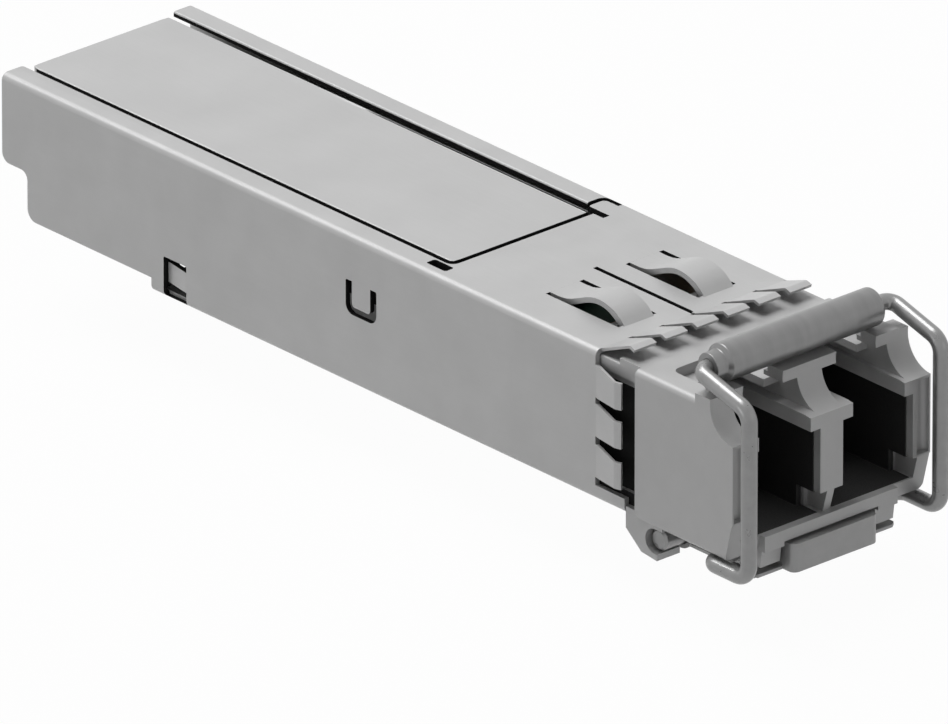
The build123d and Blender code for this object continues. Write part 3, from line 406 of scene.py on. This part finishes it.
def tan_ceramic():
    """Tan sintered body of the small parts on the board."""
    body = new_finish("tan_ceramic", (0.3, 0.2, 0.11), metallic=0.0, roughness=0.45)
    clouds = noise(body, pattern_space(body), scale=4)
    vary_colour(body, clouds, dark=(0.26, 0.17, 0.09), light=(0.36, 0.25, 0.15))
    vary_gloss(body, clouds, smooth=0.4, rough=0.55)
    return body


def absorber_rubber():
    """Dull filled rubber of the pad under the cover."""
    rubber = new_finish("absorber_rubber", grey(0.03), metallic=0.0, roughness=0.8)
    skin = noise(rubber, pattern_space(rubber), scale=7, detail=4)
    vary_colour(rubber, skin, dark=grey(0.02), light=grey(0.045))
    vary_gloss(rubber, skin, smooth=0.7, rough=0.9)
    raise_grain(rubber, skin, height=0.01)
    return rubber


SHEET = rolled_sheet()
COVER = stamped_cover()
CAST = plated_casting()
BLACK = black_moulding()
WIRE = satin_wire()
SLEEVE = dark_sleeve()
LATCH = latch_plate_metal()
STEEL = turned_steel()
CERAMIC = ground_ceramic()
GOLD = gold_plate()
FILM = amber_film()
LAMINATE = green_laminate()
RESIN = chip_resin()
TAN = tan_ceramic()
RUBBER = absorber_rubber()
# Painted shade for the cut edges and gap walls.
PAINTED_GAP_SHADE = painted_shade_edge()
# The tray inside is painted near black as shade.
TRAY_SHADE = painted_shade_casting()

NODE_FINISH = {
    "shell": SHEET,
    "top_cover": COVER,
    # The tray takes painted shade.
    "base_tray": TRAY_SHADE,
    "port_housing": CAST,
    "port_liner": BLACK,
    "tx_barrel": STEEL,
    "rx_barrel": STEEL,
    "tx_ferrule_sleeve": CERAMIC,
    "rx_ferrule_sleeve": CERAMIC,
    "tx_header": GOLD,
    "rx_header": GOLD,
    "tx_flex": FILM,
    "rx_flex": FILM,
    "barrel_retainer": COVER,
    "circuit_board": LAMINATE,
    "contact_pads": GOLD,
    "driver_chip": RESIN,
    "receiver_chip": RESIN,
    "controller_chip": RESIN,
    "memory_chip": RESIN,
    "passives": TAN,
    "absorber_pad": RUBBER,
    "bail_wire": WIRE,
    "bail_sleeve": SLEEVE,
    "latch_lever": LATCH,
    "lever_pin": WIRE,
    "lever_spring": SHEET,
}


def put_finish(piece, material):
    """Give a piece one material and no other."""
    piece.data.materials.clear()
    piece.data.materials.append(material)


for node, material in NODE_FINISH.items():
    put_finish(frame["nodes"][node], material)


def body_of_node(node):
    """Name of the moving body that a node belongs to."""
    for body, nodes in frame["record"]["behaviour"]["bodies"].items():
        if node in nodes:
            return body


def merged_copy(node):
    """Copy of a CAD node's mesh with its flat faces whole again."""
    form = bmesh.new()
    form.from_mesh(frame["nodes"][node].data)
    bmesh.ops.remove_doubles(form, verts=form.verts, dist=MERGE_DISTANCE)
    bmesh.ops.dissolve_limit(
        form,
        angle_limit=math.radians(FLAT_ANGLE),
        verts=form.verts,
        edges=form.edges,
        delimit={"NORMAL"},
    )
    for face in form.faces:
        face.smooth = True
    for edge in form.edges:
        if edge.is_manifold:
            edge.smooth = edge.calc_face_angle() < math.radians(CREASE_ANGLE)
        else:
            edge.smooth = False
    return form


def place(point):
    """Where a point lies across, along and up on the module, in millimetres."""
    return point.x / MM, REAR_EDGE - point.y / MM, point.z / MM - PLATE_HEIGHT


def within(value, span):
    """Whether a value lies between a span's two ends."""
    return span[0] < value < span[1]


def narrow_cover(form):
    """Bring the cover's walls in, lift its top and sharpen its corners, so that its grooves show."""
    for vert in form.verts:
        across, along, up = place(vert.co)
        if up > COVER_ROOF:
            vert.co.z += COVER_LIFT * MM
        if up > COVER_FOOT and along > COVER_FRONT:
            vert.co.y -= COVER_REACH * MM
        if up < COVER_FOOT or not within(abs(across), COVER_SIDE):
            continue
        wide = abs(across)
        rounded = COVER_ROUND + COVER_SLACK
        if up > COVER_TOP - rounded and wide > COVER_HALF - rounded:
            wide = COVER_HALF - (COVER_HALF - wide) / ROUND_CUT
            vert.co.z = (COVER_TOP - (COVER_TOP - up) / ROUND_CUT + COVER_LIFT + PLATE_HEIGHT) * MM
        vert.co.x = math.copysign(wide * NARROW_HALF / COVER_HALF * MM, across)


def round_window(form):
    """Round the long upper edges of the top sheet beside its window."""
    long_edges = []
    for edge in form.edges:
        beside = all(
            abs(abs(across) - WINDOW_HALF) < NEAR and abs(up - SHEET_TOP) < NEAR
            for across, along, up in (place(vert.co) for vert in edge.verts)
        )
        if beside and edge.calc_length() > LONG_EDGE * MM:
            long_edges.append(edge)
    bmesh.ops.bevel(
        form,
        geom=long_edges,
        offset=WINDOW_EDGE * MM,
        offset_type="OFFSET",
        segments=WINDOW_SEGMENTS,
        profile=0.5,
        affect="EDGES",
        material=-1,
    )
    for face in form.faces:
        face.smooth = True


def shape_sheet(form):
    """Round the window, shorten the slit, widen the U-shaped slots and lengthen the side tabs."""
    round_window(form)
    for vert in form.verts:
        across, along, up = place(vert.co)
        wide = abs(across)
        if wide > SIDE_SHEET and within(along, SLOT_ALONG) and within(up, SLOT_UP):
            from_middle = along - SLOT_MIDDLE
            if abs(from_middle) < TONGUE_HALF and up > TONGUE_FOOT:
                vert.co.y += from_middle * TONGUE_SHRINK * MM
                if up < TONGUE_TIP:
                    vert.co.z += TONGUE_LIFT * MM
            vert.co.y -= SLOT_SHIFT * MM
        if wide < SLIT_HALF and up > SHEET_UNDERSIDE and within(along, SLIT_REAR):
            vert.co.y -= SLIT_SHIFT * MM
        if within(wide, TAB_SIDE) and abs(along - TAB_TIP) < TAB_NEAR and within(up, TAB_UP):
            vert.co.y += TAB_REACH * MM


def open_roof(form):
    """Take the openings over both ports back under the sleeve, and part the neck's walls near the top."""
    for vert in form.verts:
        across, along, up = place(vert.co)
        if abs(along - ROOF_EDGE) < NEAR and within(up, ROOF_UP) and within(abs(across), ROOF_SIDE):
            vert.co.y += ROOF_SHIFT * MM
    # The neck's walls are parted at the top of the hollow, where their painted shade ends.
    walls = [face for face in form.faces if neck_hollow_shade(*place(face.calc_center_median()), face.normal)]
    parts = {part for face in walls for part in (face, *face.edges, *face.verts)}
    bmesh.ops.bisect_plane(
        form,
        geom=list(parts),
        plane_co=(0, 0, (HOLLOW_UP[1] + PLATE_HEIGHT) * MM),
        plane_no=(0, 0, 1),
    )


def cover_wall_shade(across, along, up, normal):
    """The cover's outer and inner walls, apart from its rear end, which take painted shade."""
    return up > COVER_FOOT and abs(normal.z) < STEEP and along > COVER_REAR


def neck_hollow_shade(across, along, up, normal):
    """The casting's neck walls between the spring fingers and the nose, below its top, which take painted
    shade.
    """
    in_neck = within(along, HOLLOW_ALONG) and abs(across) < HOLLOW_HALF
    return in_neck and within(up, HOLLOW_UP) and abs(normal.z) < STEEP


def cut_edge_shade(across, along, up, normal):
    """Cut edges in the top sheet and round the openings of the side sheets, which take painted shade."""
    top = within(up, CUT_UP) and within(along, CUT_ALONG) and abs(across) < CUT_HALF
    beside_window = within(along, SIDE_WINDOW_ALONG) and up < SIDE_WINDOW_TOP
    beside_slot = within(along, SLOT_WALLS) and within(up, SLOT_UP)
    side = abs(across) > SIDE_SHEET and (beside_window or beside_slot)
    return (top and abs(normal.z) < STEEP) or (side and abs(normal.x) < STEEP)


SHAPE = {"top_cover": narrow_cover, "port_housing": open_roof, "shell": shape_sheet}
# Faces picked out for painted shade, node by node.
SHADE_MASKS_BY_NODE = {"top_cover": cover_wall_shade, "shell": cut_edge_shade, "port_housing": neck_hollow_shade}


def paint_shade_on_walls(form, node):
    """Mark the faces that take the second material, painted shade."""
    for face in form.faces:
        if SHADE_MASKS_BY_NODE[node](*place(face.calc_center_median()), face.normal):
            face.material_index = 1


def edged_piece(name, node, edge_mm):
    """A node's piece with a small rounding on every edge, riding where the node rides."""
    form = merged_copy(node)
    mesh = bpy.data.meshes.new(name)
    piece = bpy.data.objects.new(name, mesh)
    bpy.context.scene.collection.objects.link(piece)
    put_finish(piece, NODE_FINISH[node])
    if node in SHAPE:
        SHAPE[node](form)
    # Walls picked out by a mask get painted shade as their second material.
    if node in SHADE_MASKS_BY_NODE:
        paint_shade_on_walls(form, node)
        mesh.materials.append(PAINTED_GAP_SHADE)
    form.to_mesh(mesh)
    form.free()
    if edge_mm:
        rounding = piece.modifiers.new("edge_rounding", "BEVEL")
        rounding.width = edge_mm * MM
        rounding.segments = EDGE_SEGMENTS
        rounding.limit_method = "ANGLE"
        rounding.angle_limit = math.radians(CREASE_ANGLE)
        rounding.use_clamp_overlap = True
        rounding.harden_normals = True
    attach(piece, body_of_node(node))
    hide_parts(node)
    return piece


EDGES = {
    "shell": ("folded_shell", SHEET_EDGE),
    "top_cover": ("window_cover", CAST_EDGE),
    "port_housing": ("port_casting", CAST_EDGE),
    "port_liner": ("port_tubs", MOULDED_EDGE),
    "bail_wire": ("bent_bail", 0),
    "bail_sleeve": ("grip_sleeve", SLEEVE_EDGE),
    "latch_lever": ("rocking_latch", STRIP_EDGE),
    "lever_pin": ("rocker_pin", 0),
    "lever_spring": ("bowed_leaf", 0),
    "tx_barrel": ("left_barrel", 0),
    "rx_barrel": ("right_barrel", 0),
}

dressed = {node: edged_piece(name, node, edge_mm) for node, (name, edge_mm) in EDGES.items()}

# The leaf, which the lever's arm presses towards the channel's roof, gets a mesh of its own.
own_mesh(dressed["lever_spring"])


# floor, light and camera
def background_rays(tree):
    """1 for the rays that show the background itself, straight or by way of metal or glass."""
    rays = tree.nodes.new("ShaderNodeLightPath")
    shown = rays.outputs["Is Camera Ray"]
    for kind in ("Is Glossy Ray", "Is Transmission Ray"):
        either = tree.nodes.new("ShaderNodeMath")
        either.operation = "MAXIMUM"
        tree.links.new(shown, either.inputs[0])
        tree.links.new(rays.outputs[kind], either.inputs[1])
        shown = either.outputs["Value"]
    return shown


def white_paper():
    """Pale paper that shows as plain white and keeps a faint shadow."""
    paper = new_finish("white_paper", grey(0.6), metallic=0.0, roughness=0.9)
    tree = paper.node_tree
    white = tree.nodes.new("ShaderNodeEmission")
    white.inputs["Strength"].default_value = 1.0
    share = tree.nodes.new("ShaderNodeMath")
    share.operation = "MULTIPLY"
    share.inputs[1].default_value = FLOOR_WHITE
    mix = tree.nodes.new("ShaderNodeMixShader")
    tree.links.new(background_rays(tree), share.inputs[0])
    tree.links.new(share.outputs["Value"], mix.inputs["Fac"])
    tree.links.new(tree.nodes["Principled BSDF"].outputs["BSDF"], mix.inputs[1])
    tree.links.new(white.outputs["Emission"], mix.inputs[2])
    tree.links.new(mix.outputs["Shader"], tree.nodes["Material Output"].inputs["Surface"])
    return paper


def make_floor():
    """Flat floor below the module, not part of it."""
    form = bmesh.new()
    bmesh.ops.create_grid(form, x_segments=1, y_segments=1, size=FLOOR_HALF)
    bmesh.ops.translate(form, verts=form.verts, vec=(0, 0, -FLOOR_DROP * MM))
    mesh = bpy.data.meshes.new("floor")
    form.to_mesh(mesh)
    form.free()
    floor = bpy.data.objects.new("floor", mesh)
    bpy.context.scene.collection.objects.link(floor)
    put_finish(floor, white_paper())


def softbox(name, direction, distance, width, watts):
    """Square soft lamp that looks at the module from a direction."""
    lamp = bpy.data.lights.new(name, "AREA")
    lamp.shape = "SQUARE"
    lamp.size = width
    lamp.energy = watts
    holder = bpy.data.objects.new(name, lamp)
    way = Vector(direction).normalized()
    holder.location = way * distance
    holder.rotation_euler = way.to_track_quat("Z", "Y").to_euler()
    bpy.context.scene.collection.objects.link(holder)


def make_world():
    """White surroundings that light the module only a little."""
    world = bpy.data.worlds.new("studio")
    world.use_nodes = True
    tree = world.node_tree
    background = tree.nodes["Background"]
    strength = tree.nodes.new("ShaderNodeMath")
    strength.operation = "MULTIPLY_ADD"
    strength.inputs[1].default_value = 1 - AMBIENT
    strength.inputs[2].default_value = AMBIENT
    tree.links.new(background_rays(tree), strength.inputs[0])
    tree.links.new(strength.outputs["Value"], background.inputs["Strength"])
    background.inputs["Color"].default_value = (1, 1, 1, 1)
    bpy.context.scene.world = world


def make_camera():
    """Long lens at the photograph's angle and scale."""
    lens = bpy.data.cameras.new("photo_camera")
    lens.lens = LENS
    lens.sensor_width = SENSOR
    lens.clip_start = NEAR_CLIP
    lens.clip_end = FAR_CLIP
    camera = bpy.data.objects.new("photo_camera", lens)
    view_width = PHOTO_WIDTH / PIXELS_PER_MM * MM
    distance = view_width * LENS / SENSOR
    azimuth = math.radians(VIEW_AZIMUTH)
    elevation = math.radians(VIEW_ELEVATION)
    back = Vector(
        (
            math.sin(azimuth) * math.cos(elevation),
            -math.cos(azimuth) * math.cos(elevation),
            math.sin(elevation),
        )
    )
    camera.location = Vector(LOOK_AT) * MM + back * distance
    camera.rotation_euler = (math.pi / 2 - elevation, 0, azimuth)
    bpy.context.scene.collection.objects.link(camera)
    bpy.context.scene.camera = camera


make_floor()
for name, (direction, distance, width, watts) in LAMPS.items():
    softbox(name, direction, distance, width, watts)
make_world()
make_camera()
bpy.context.scene.view_settings.view_transform = "Standard"
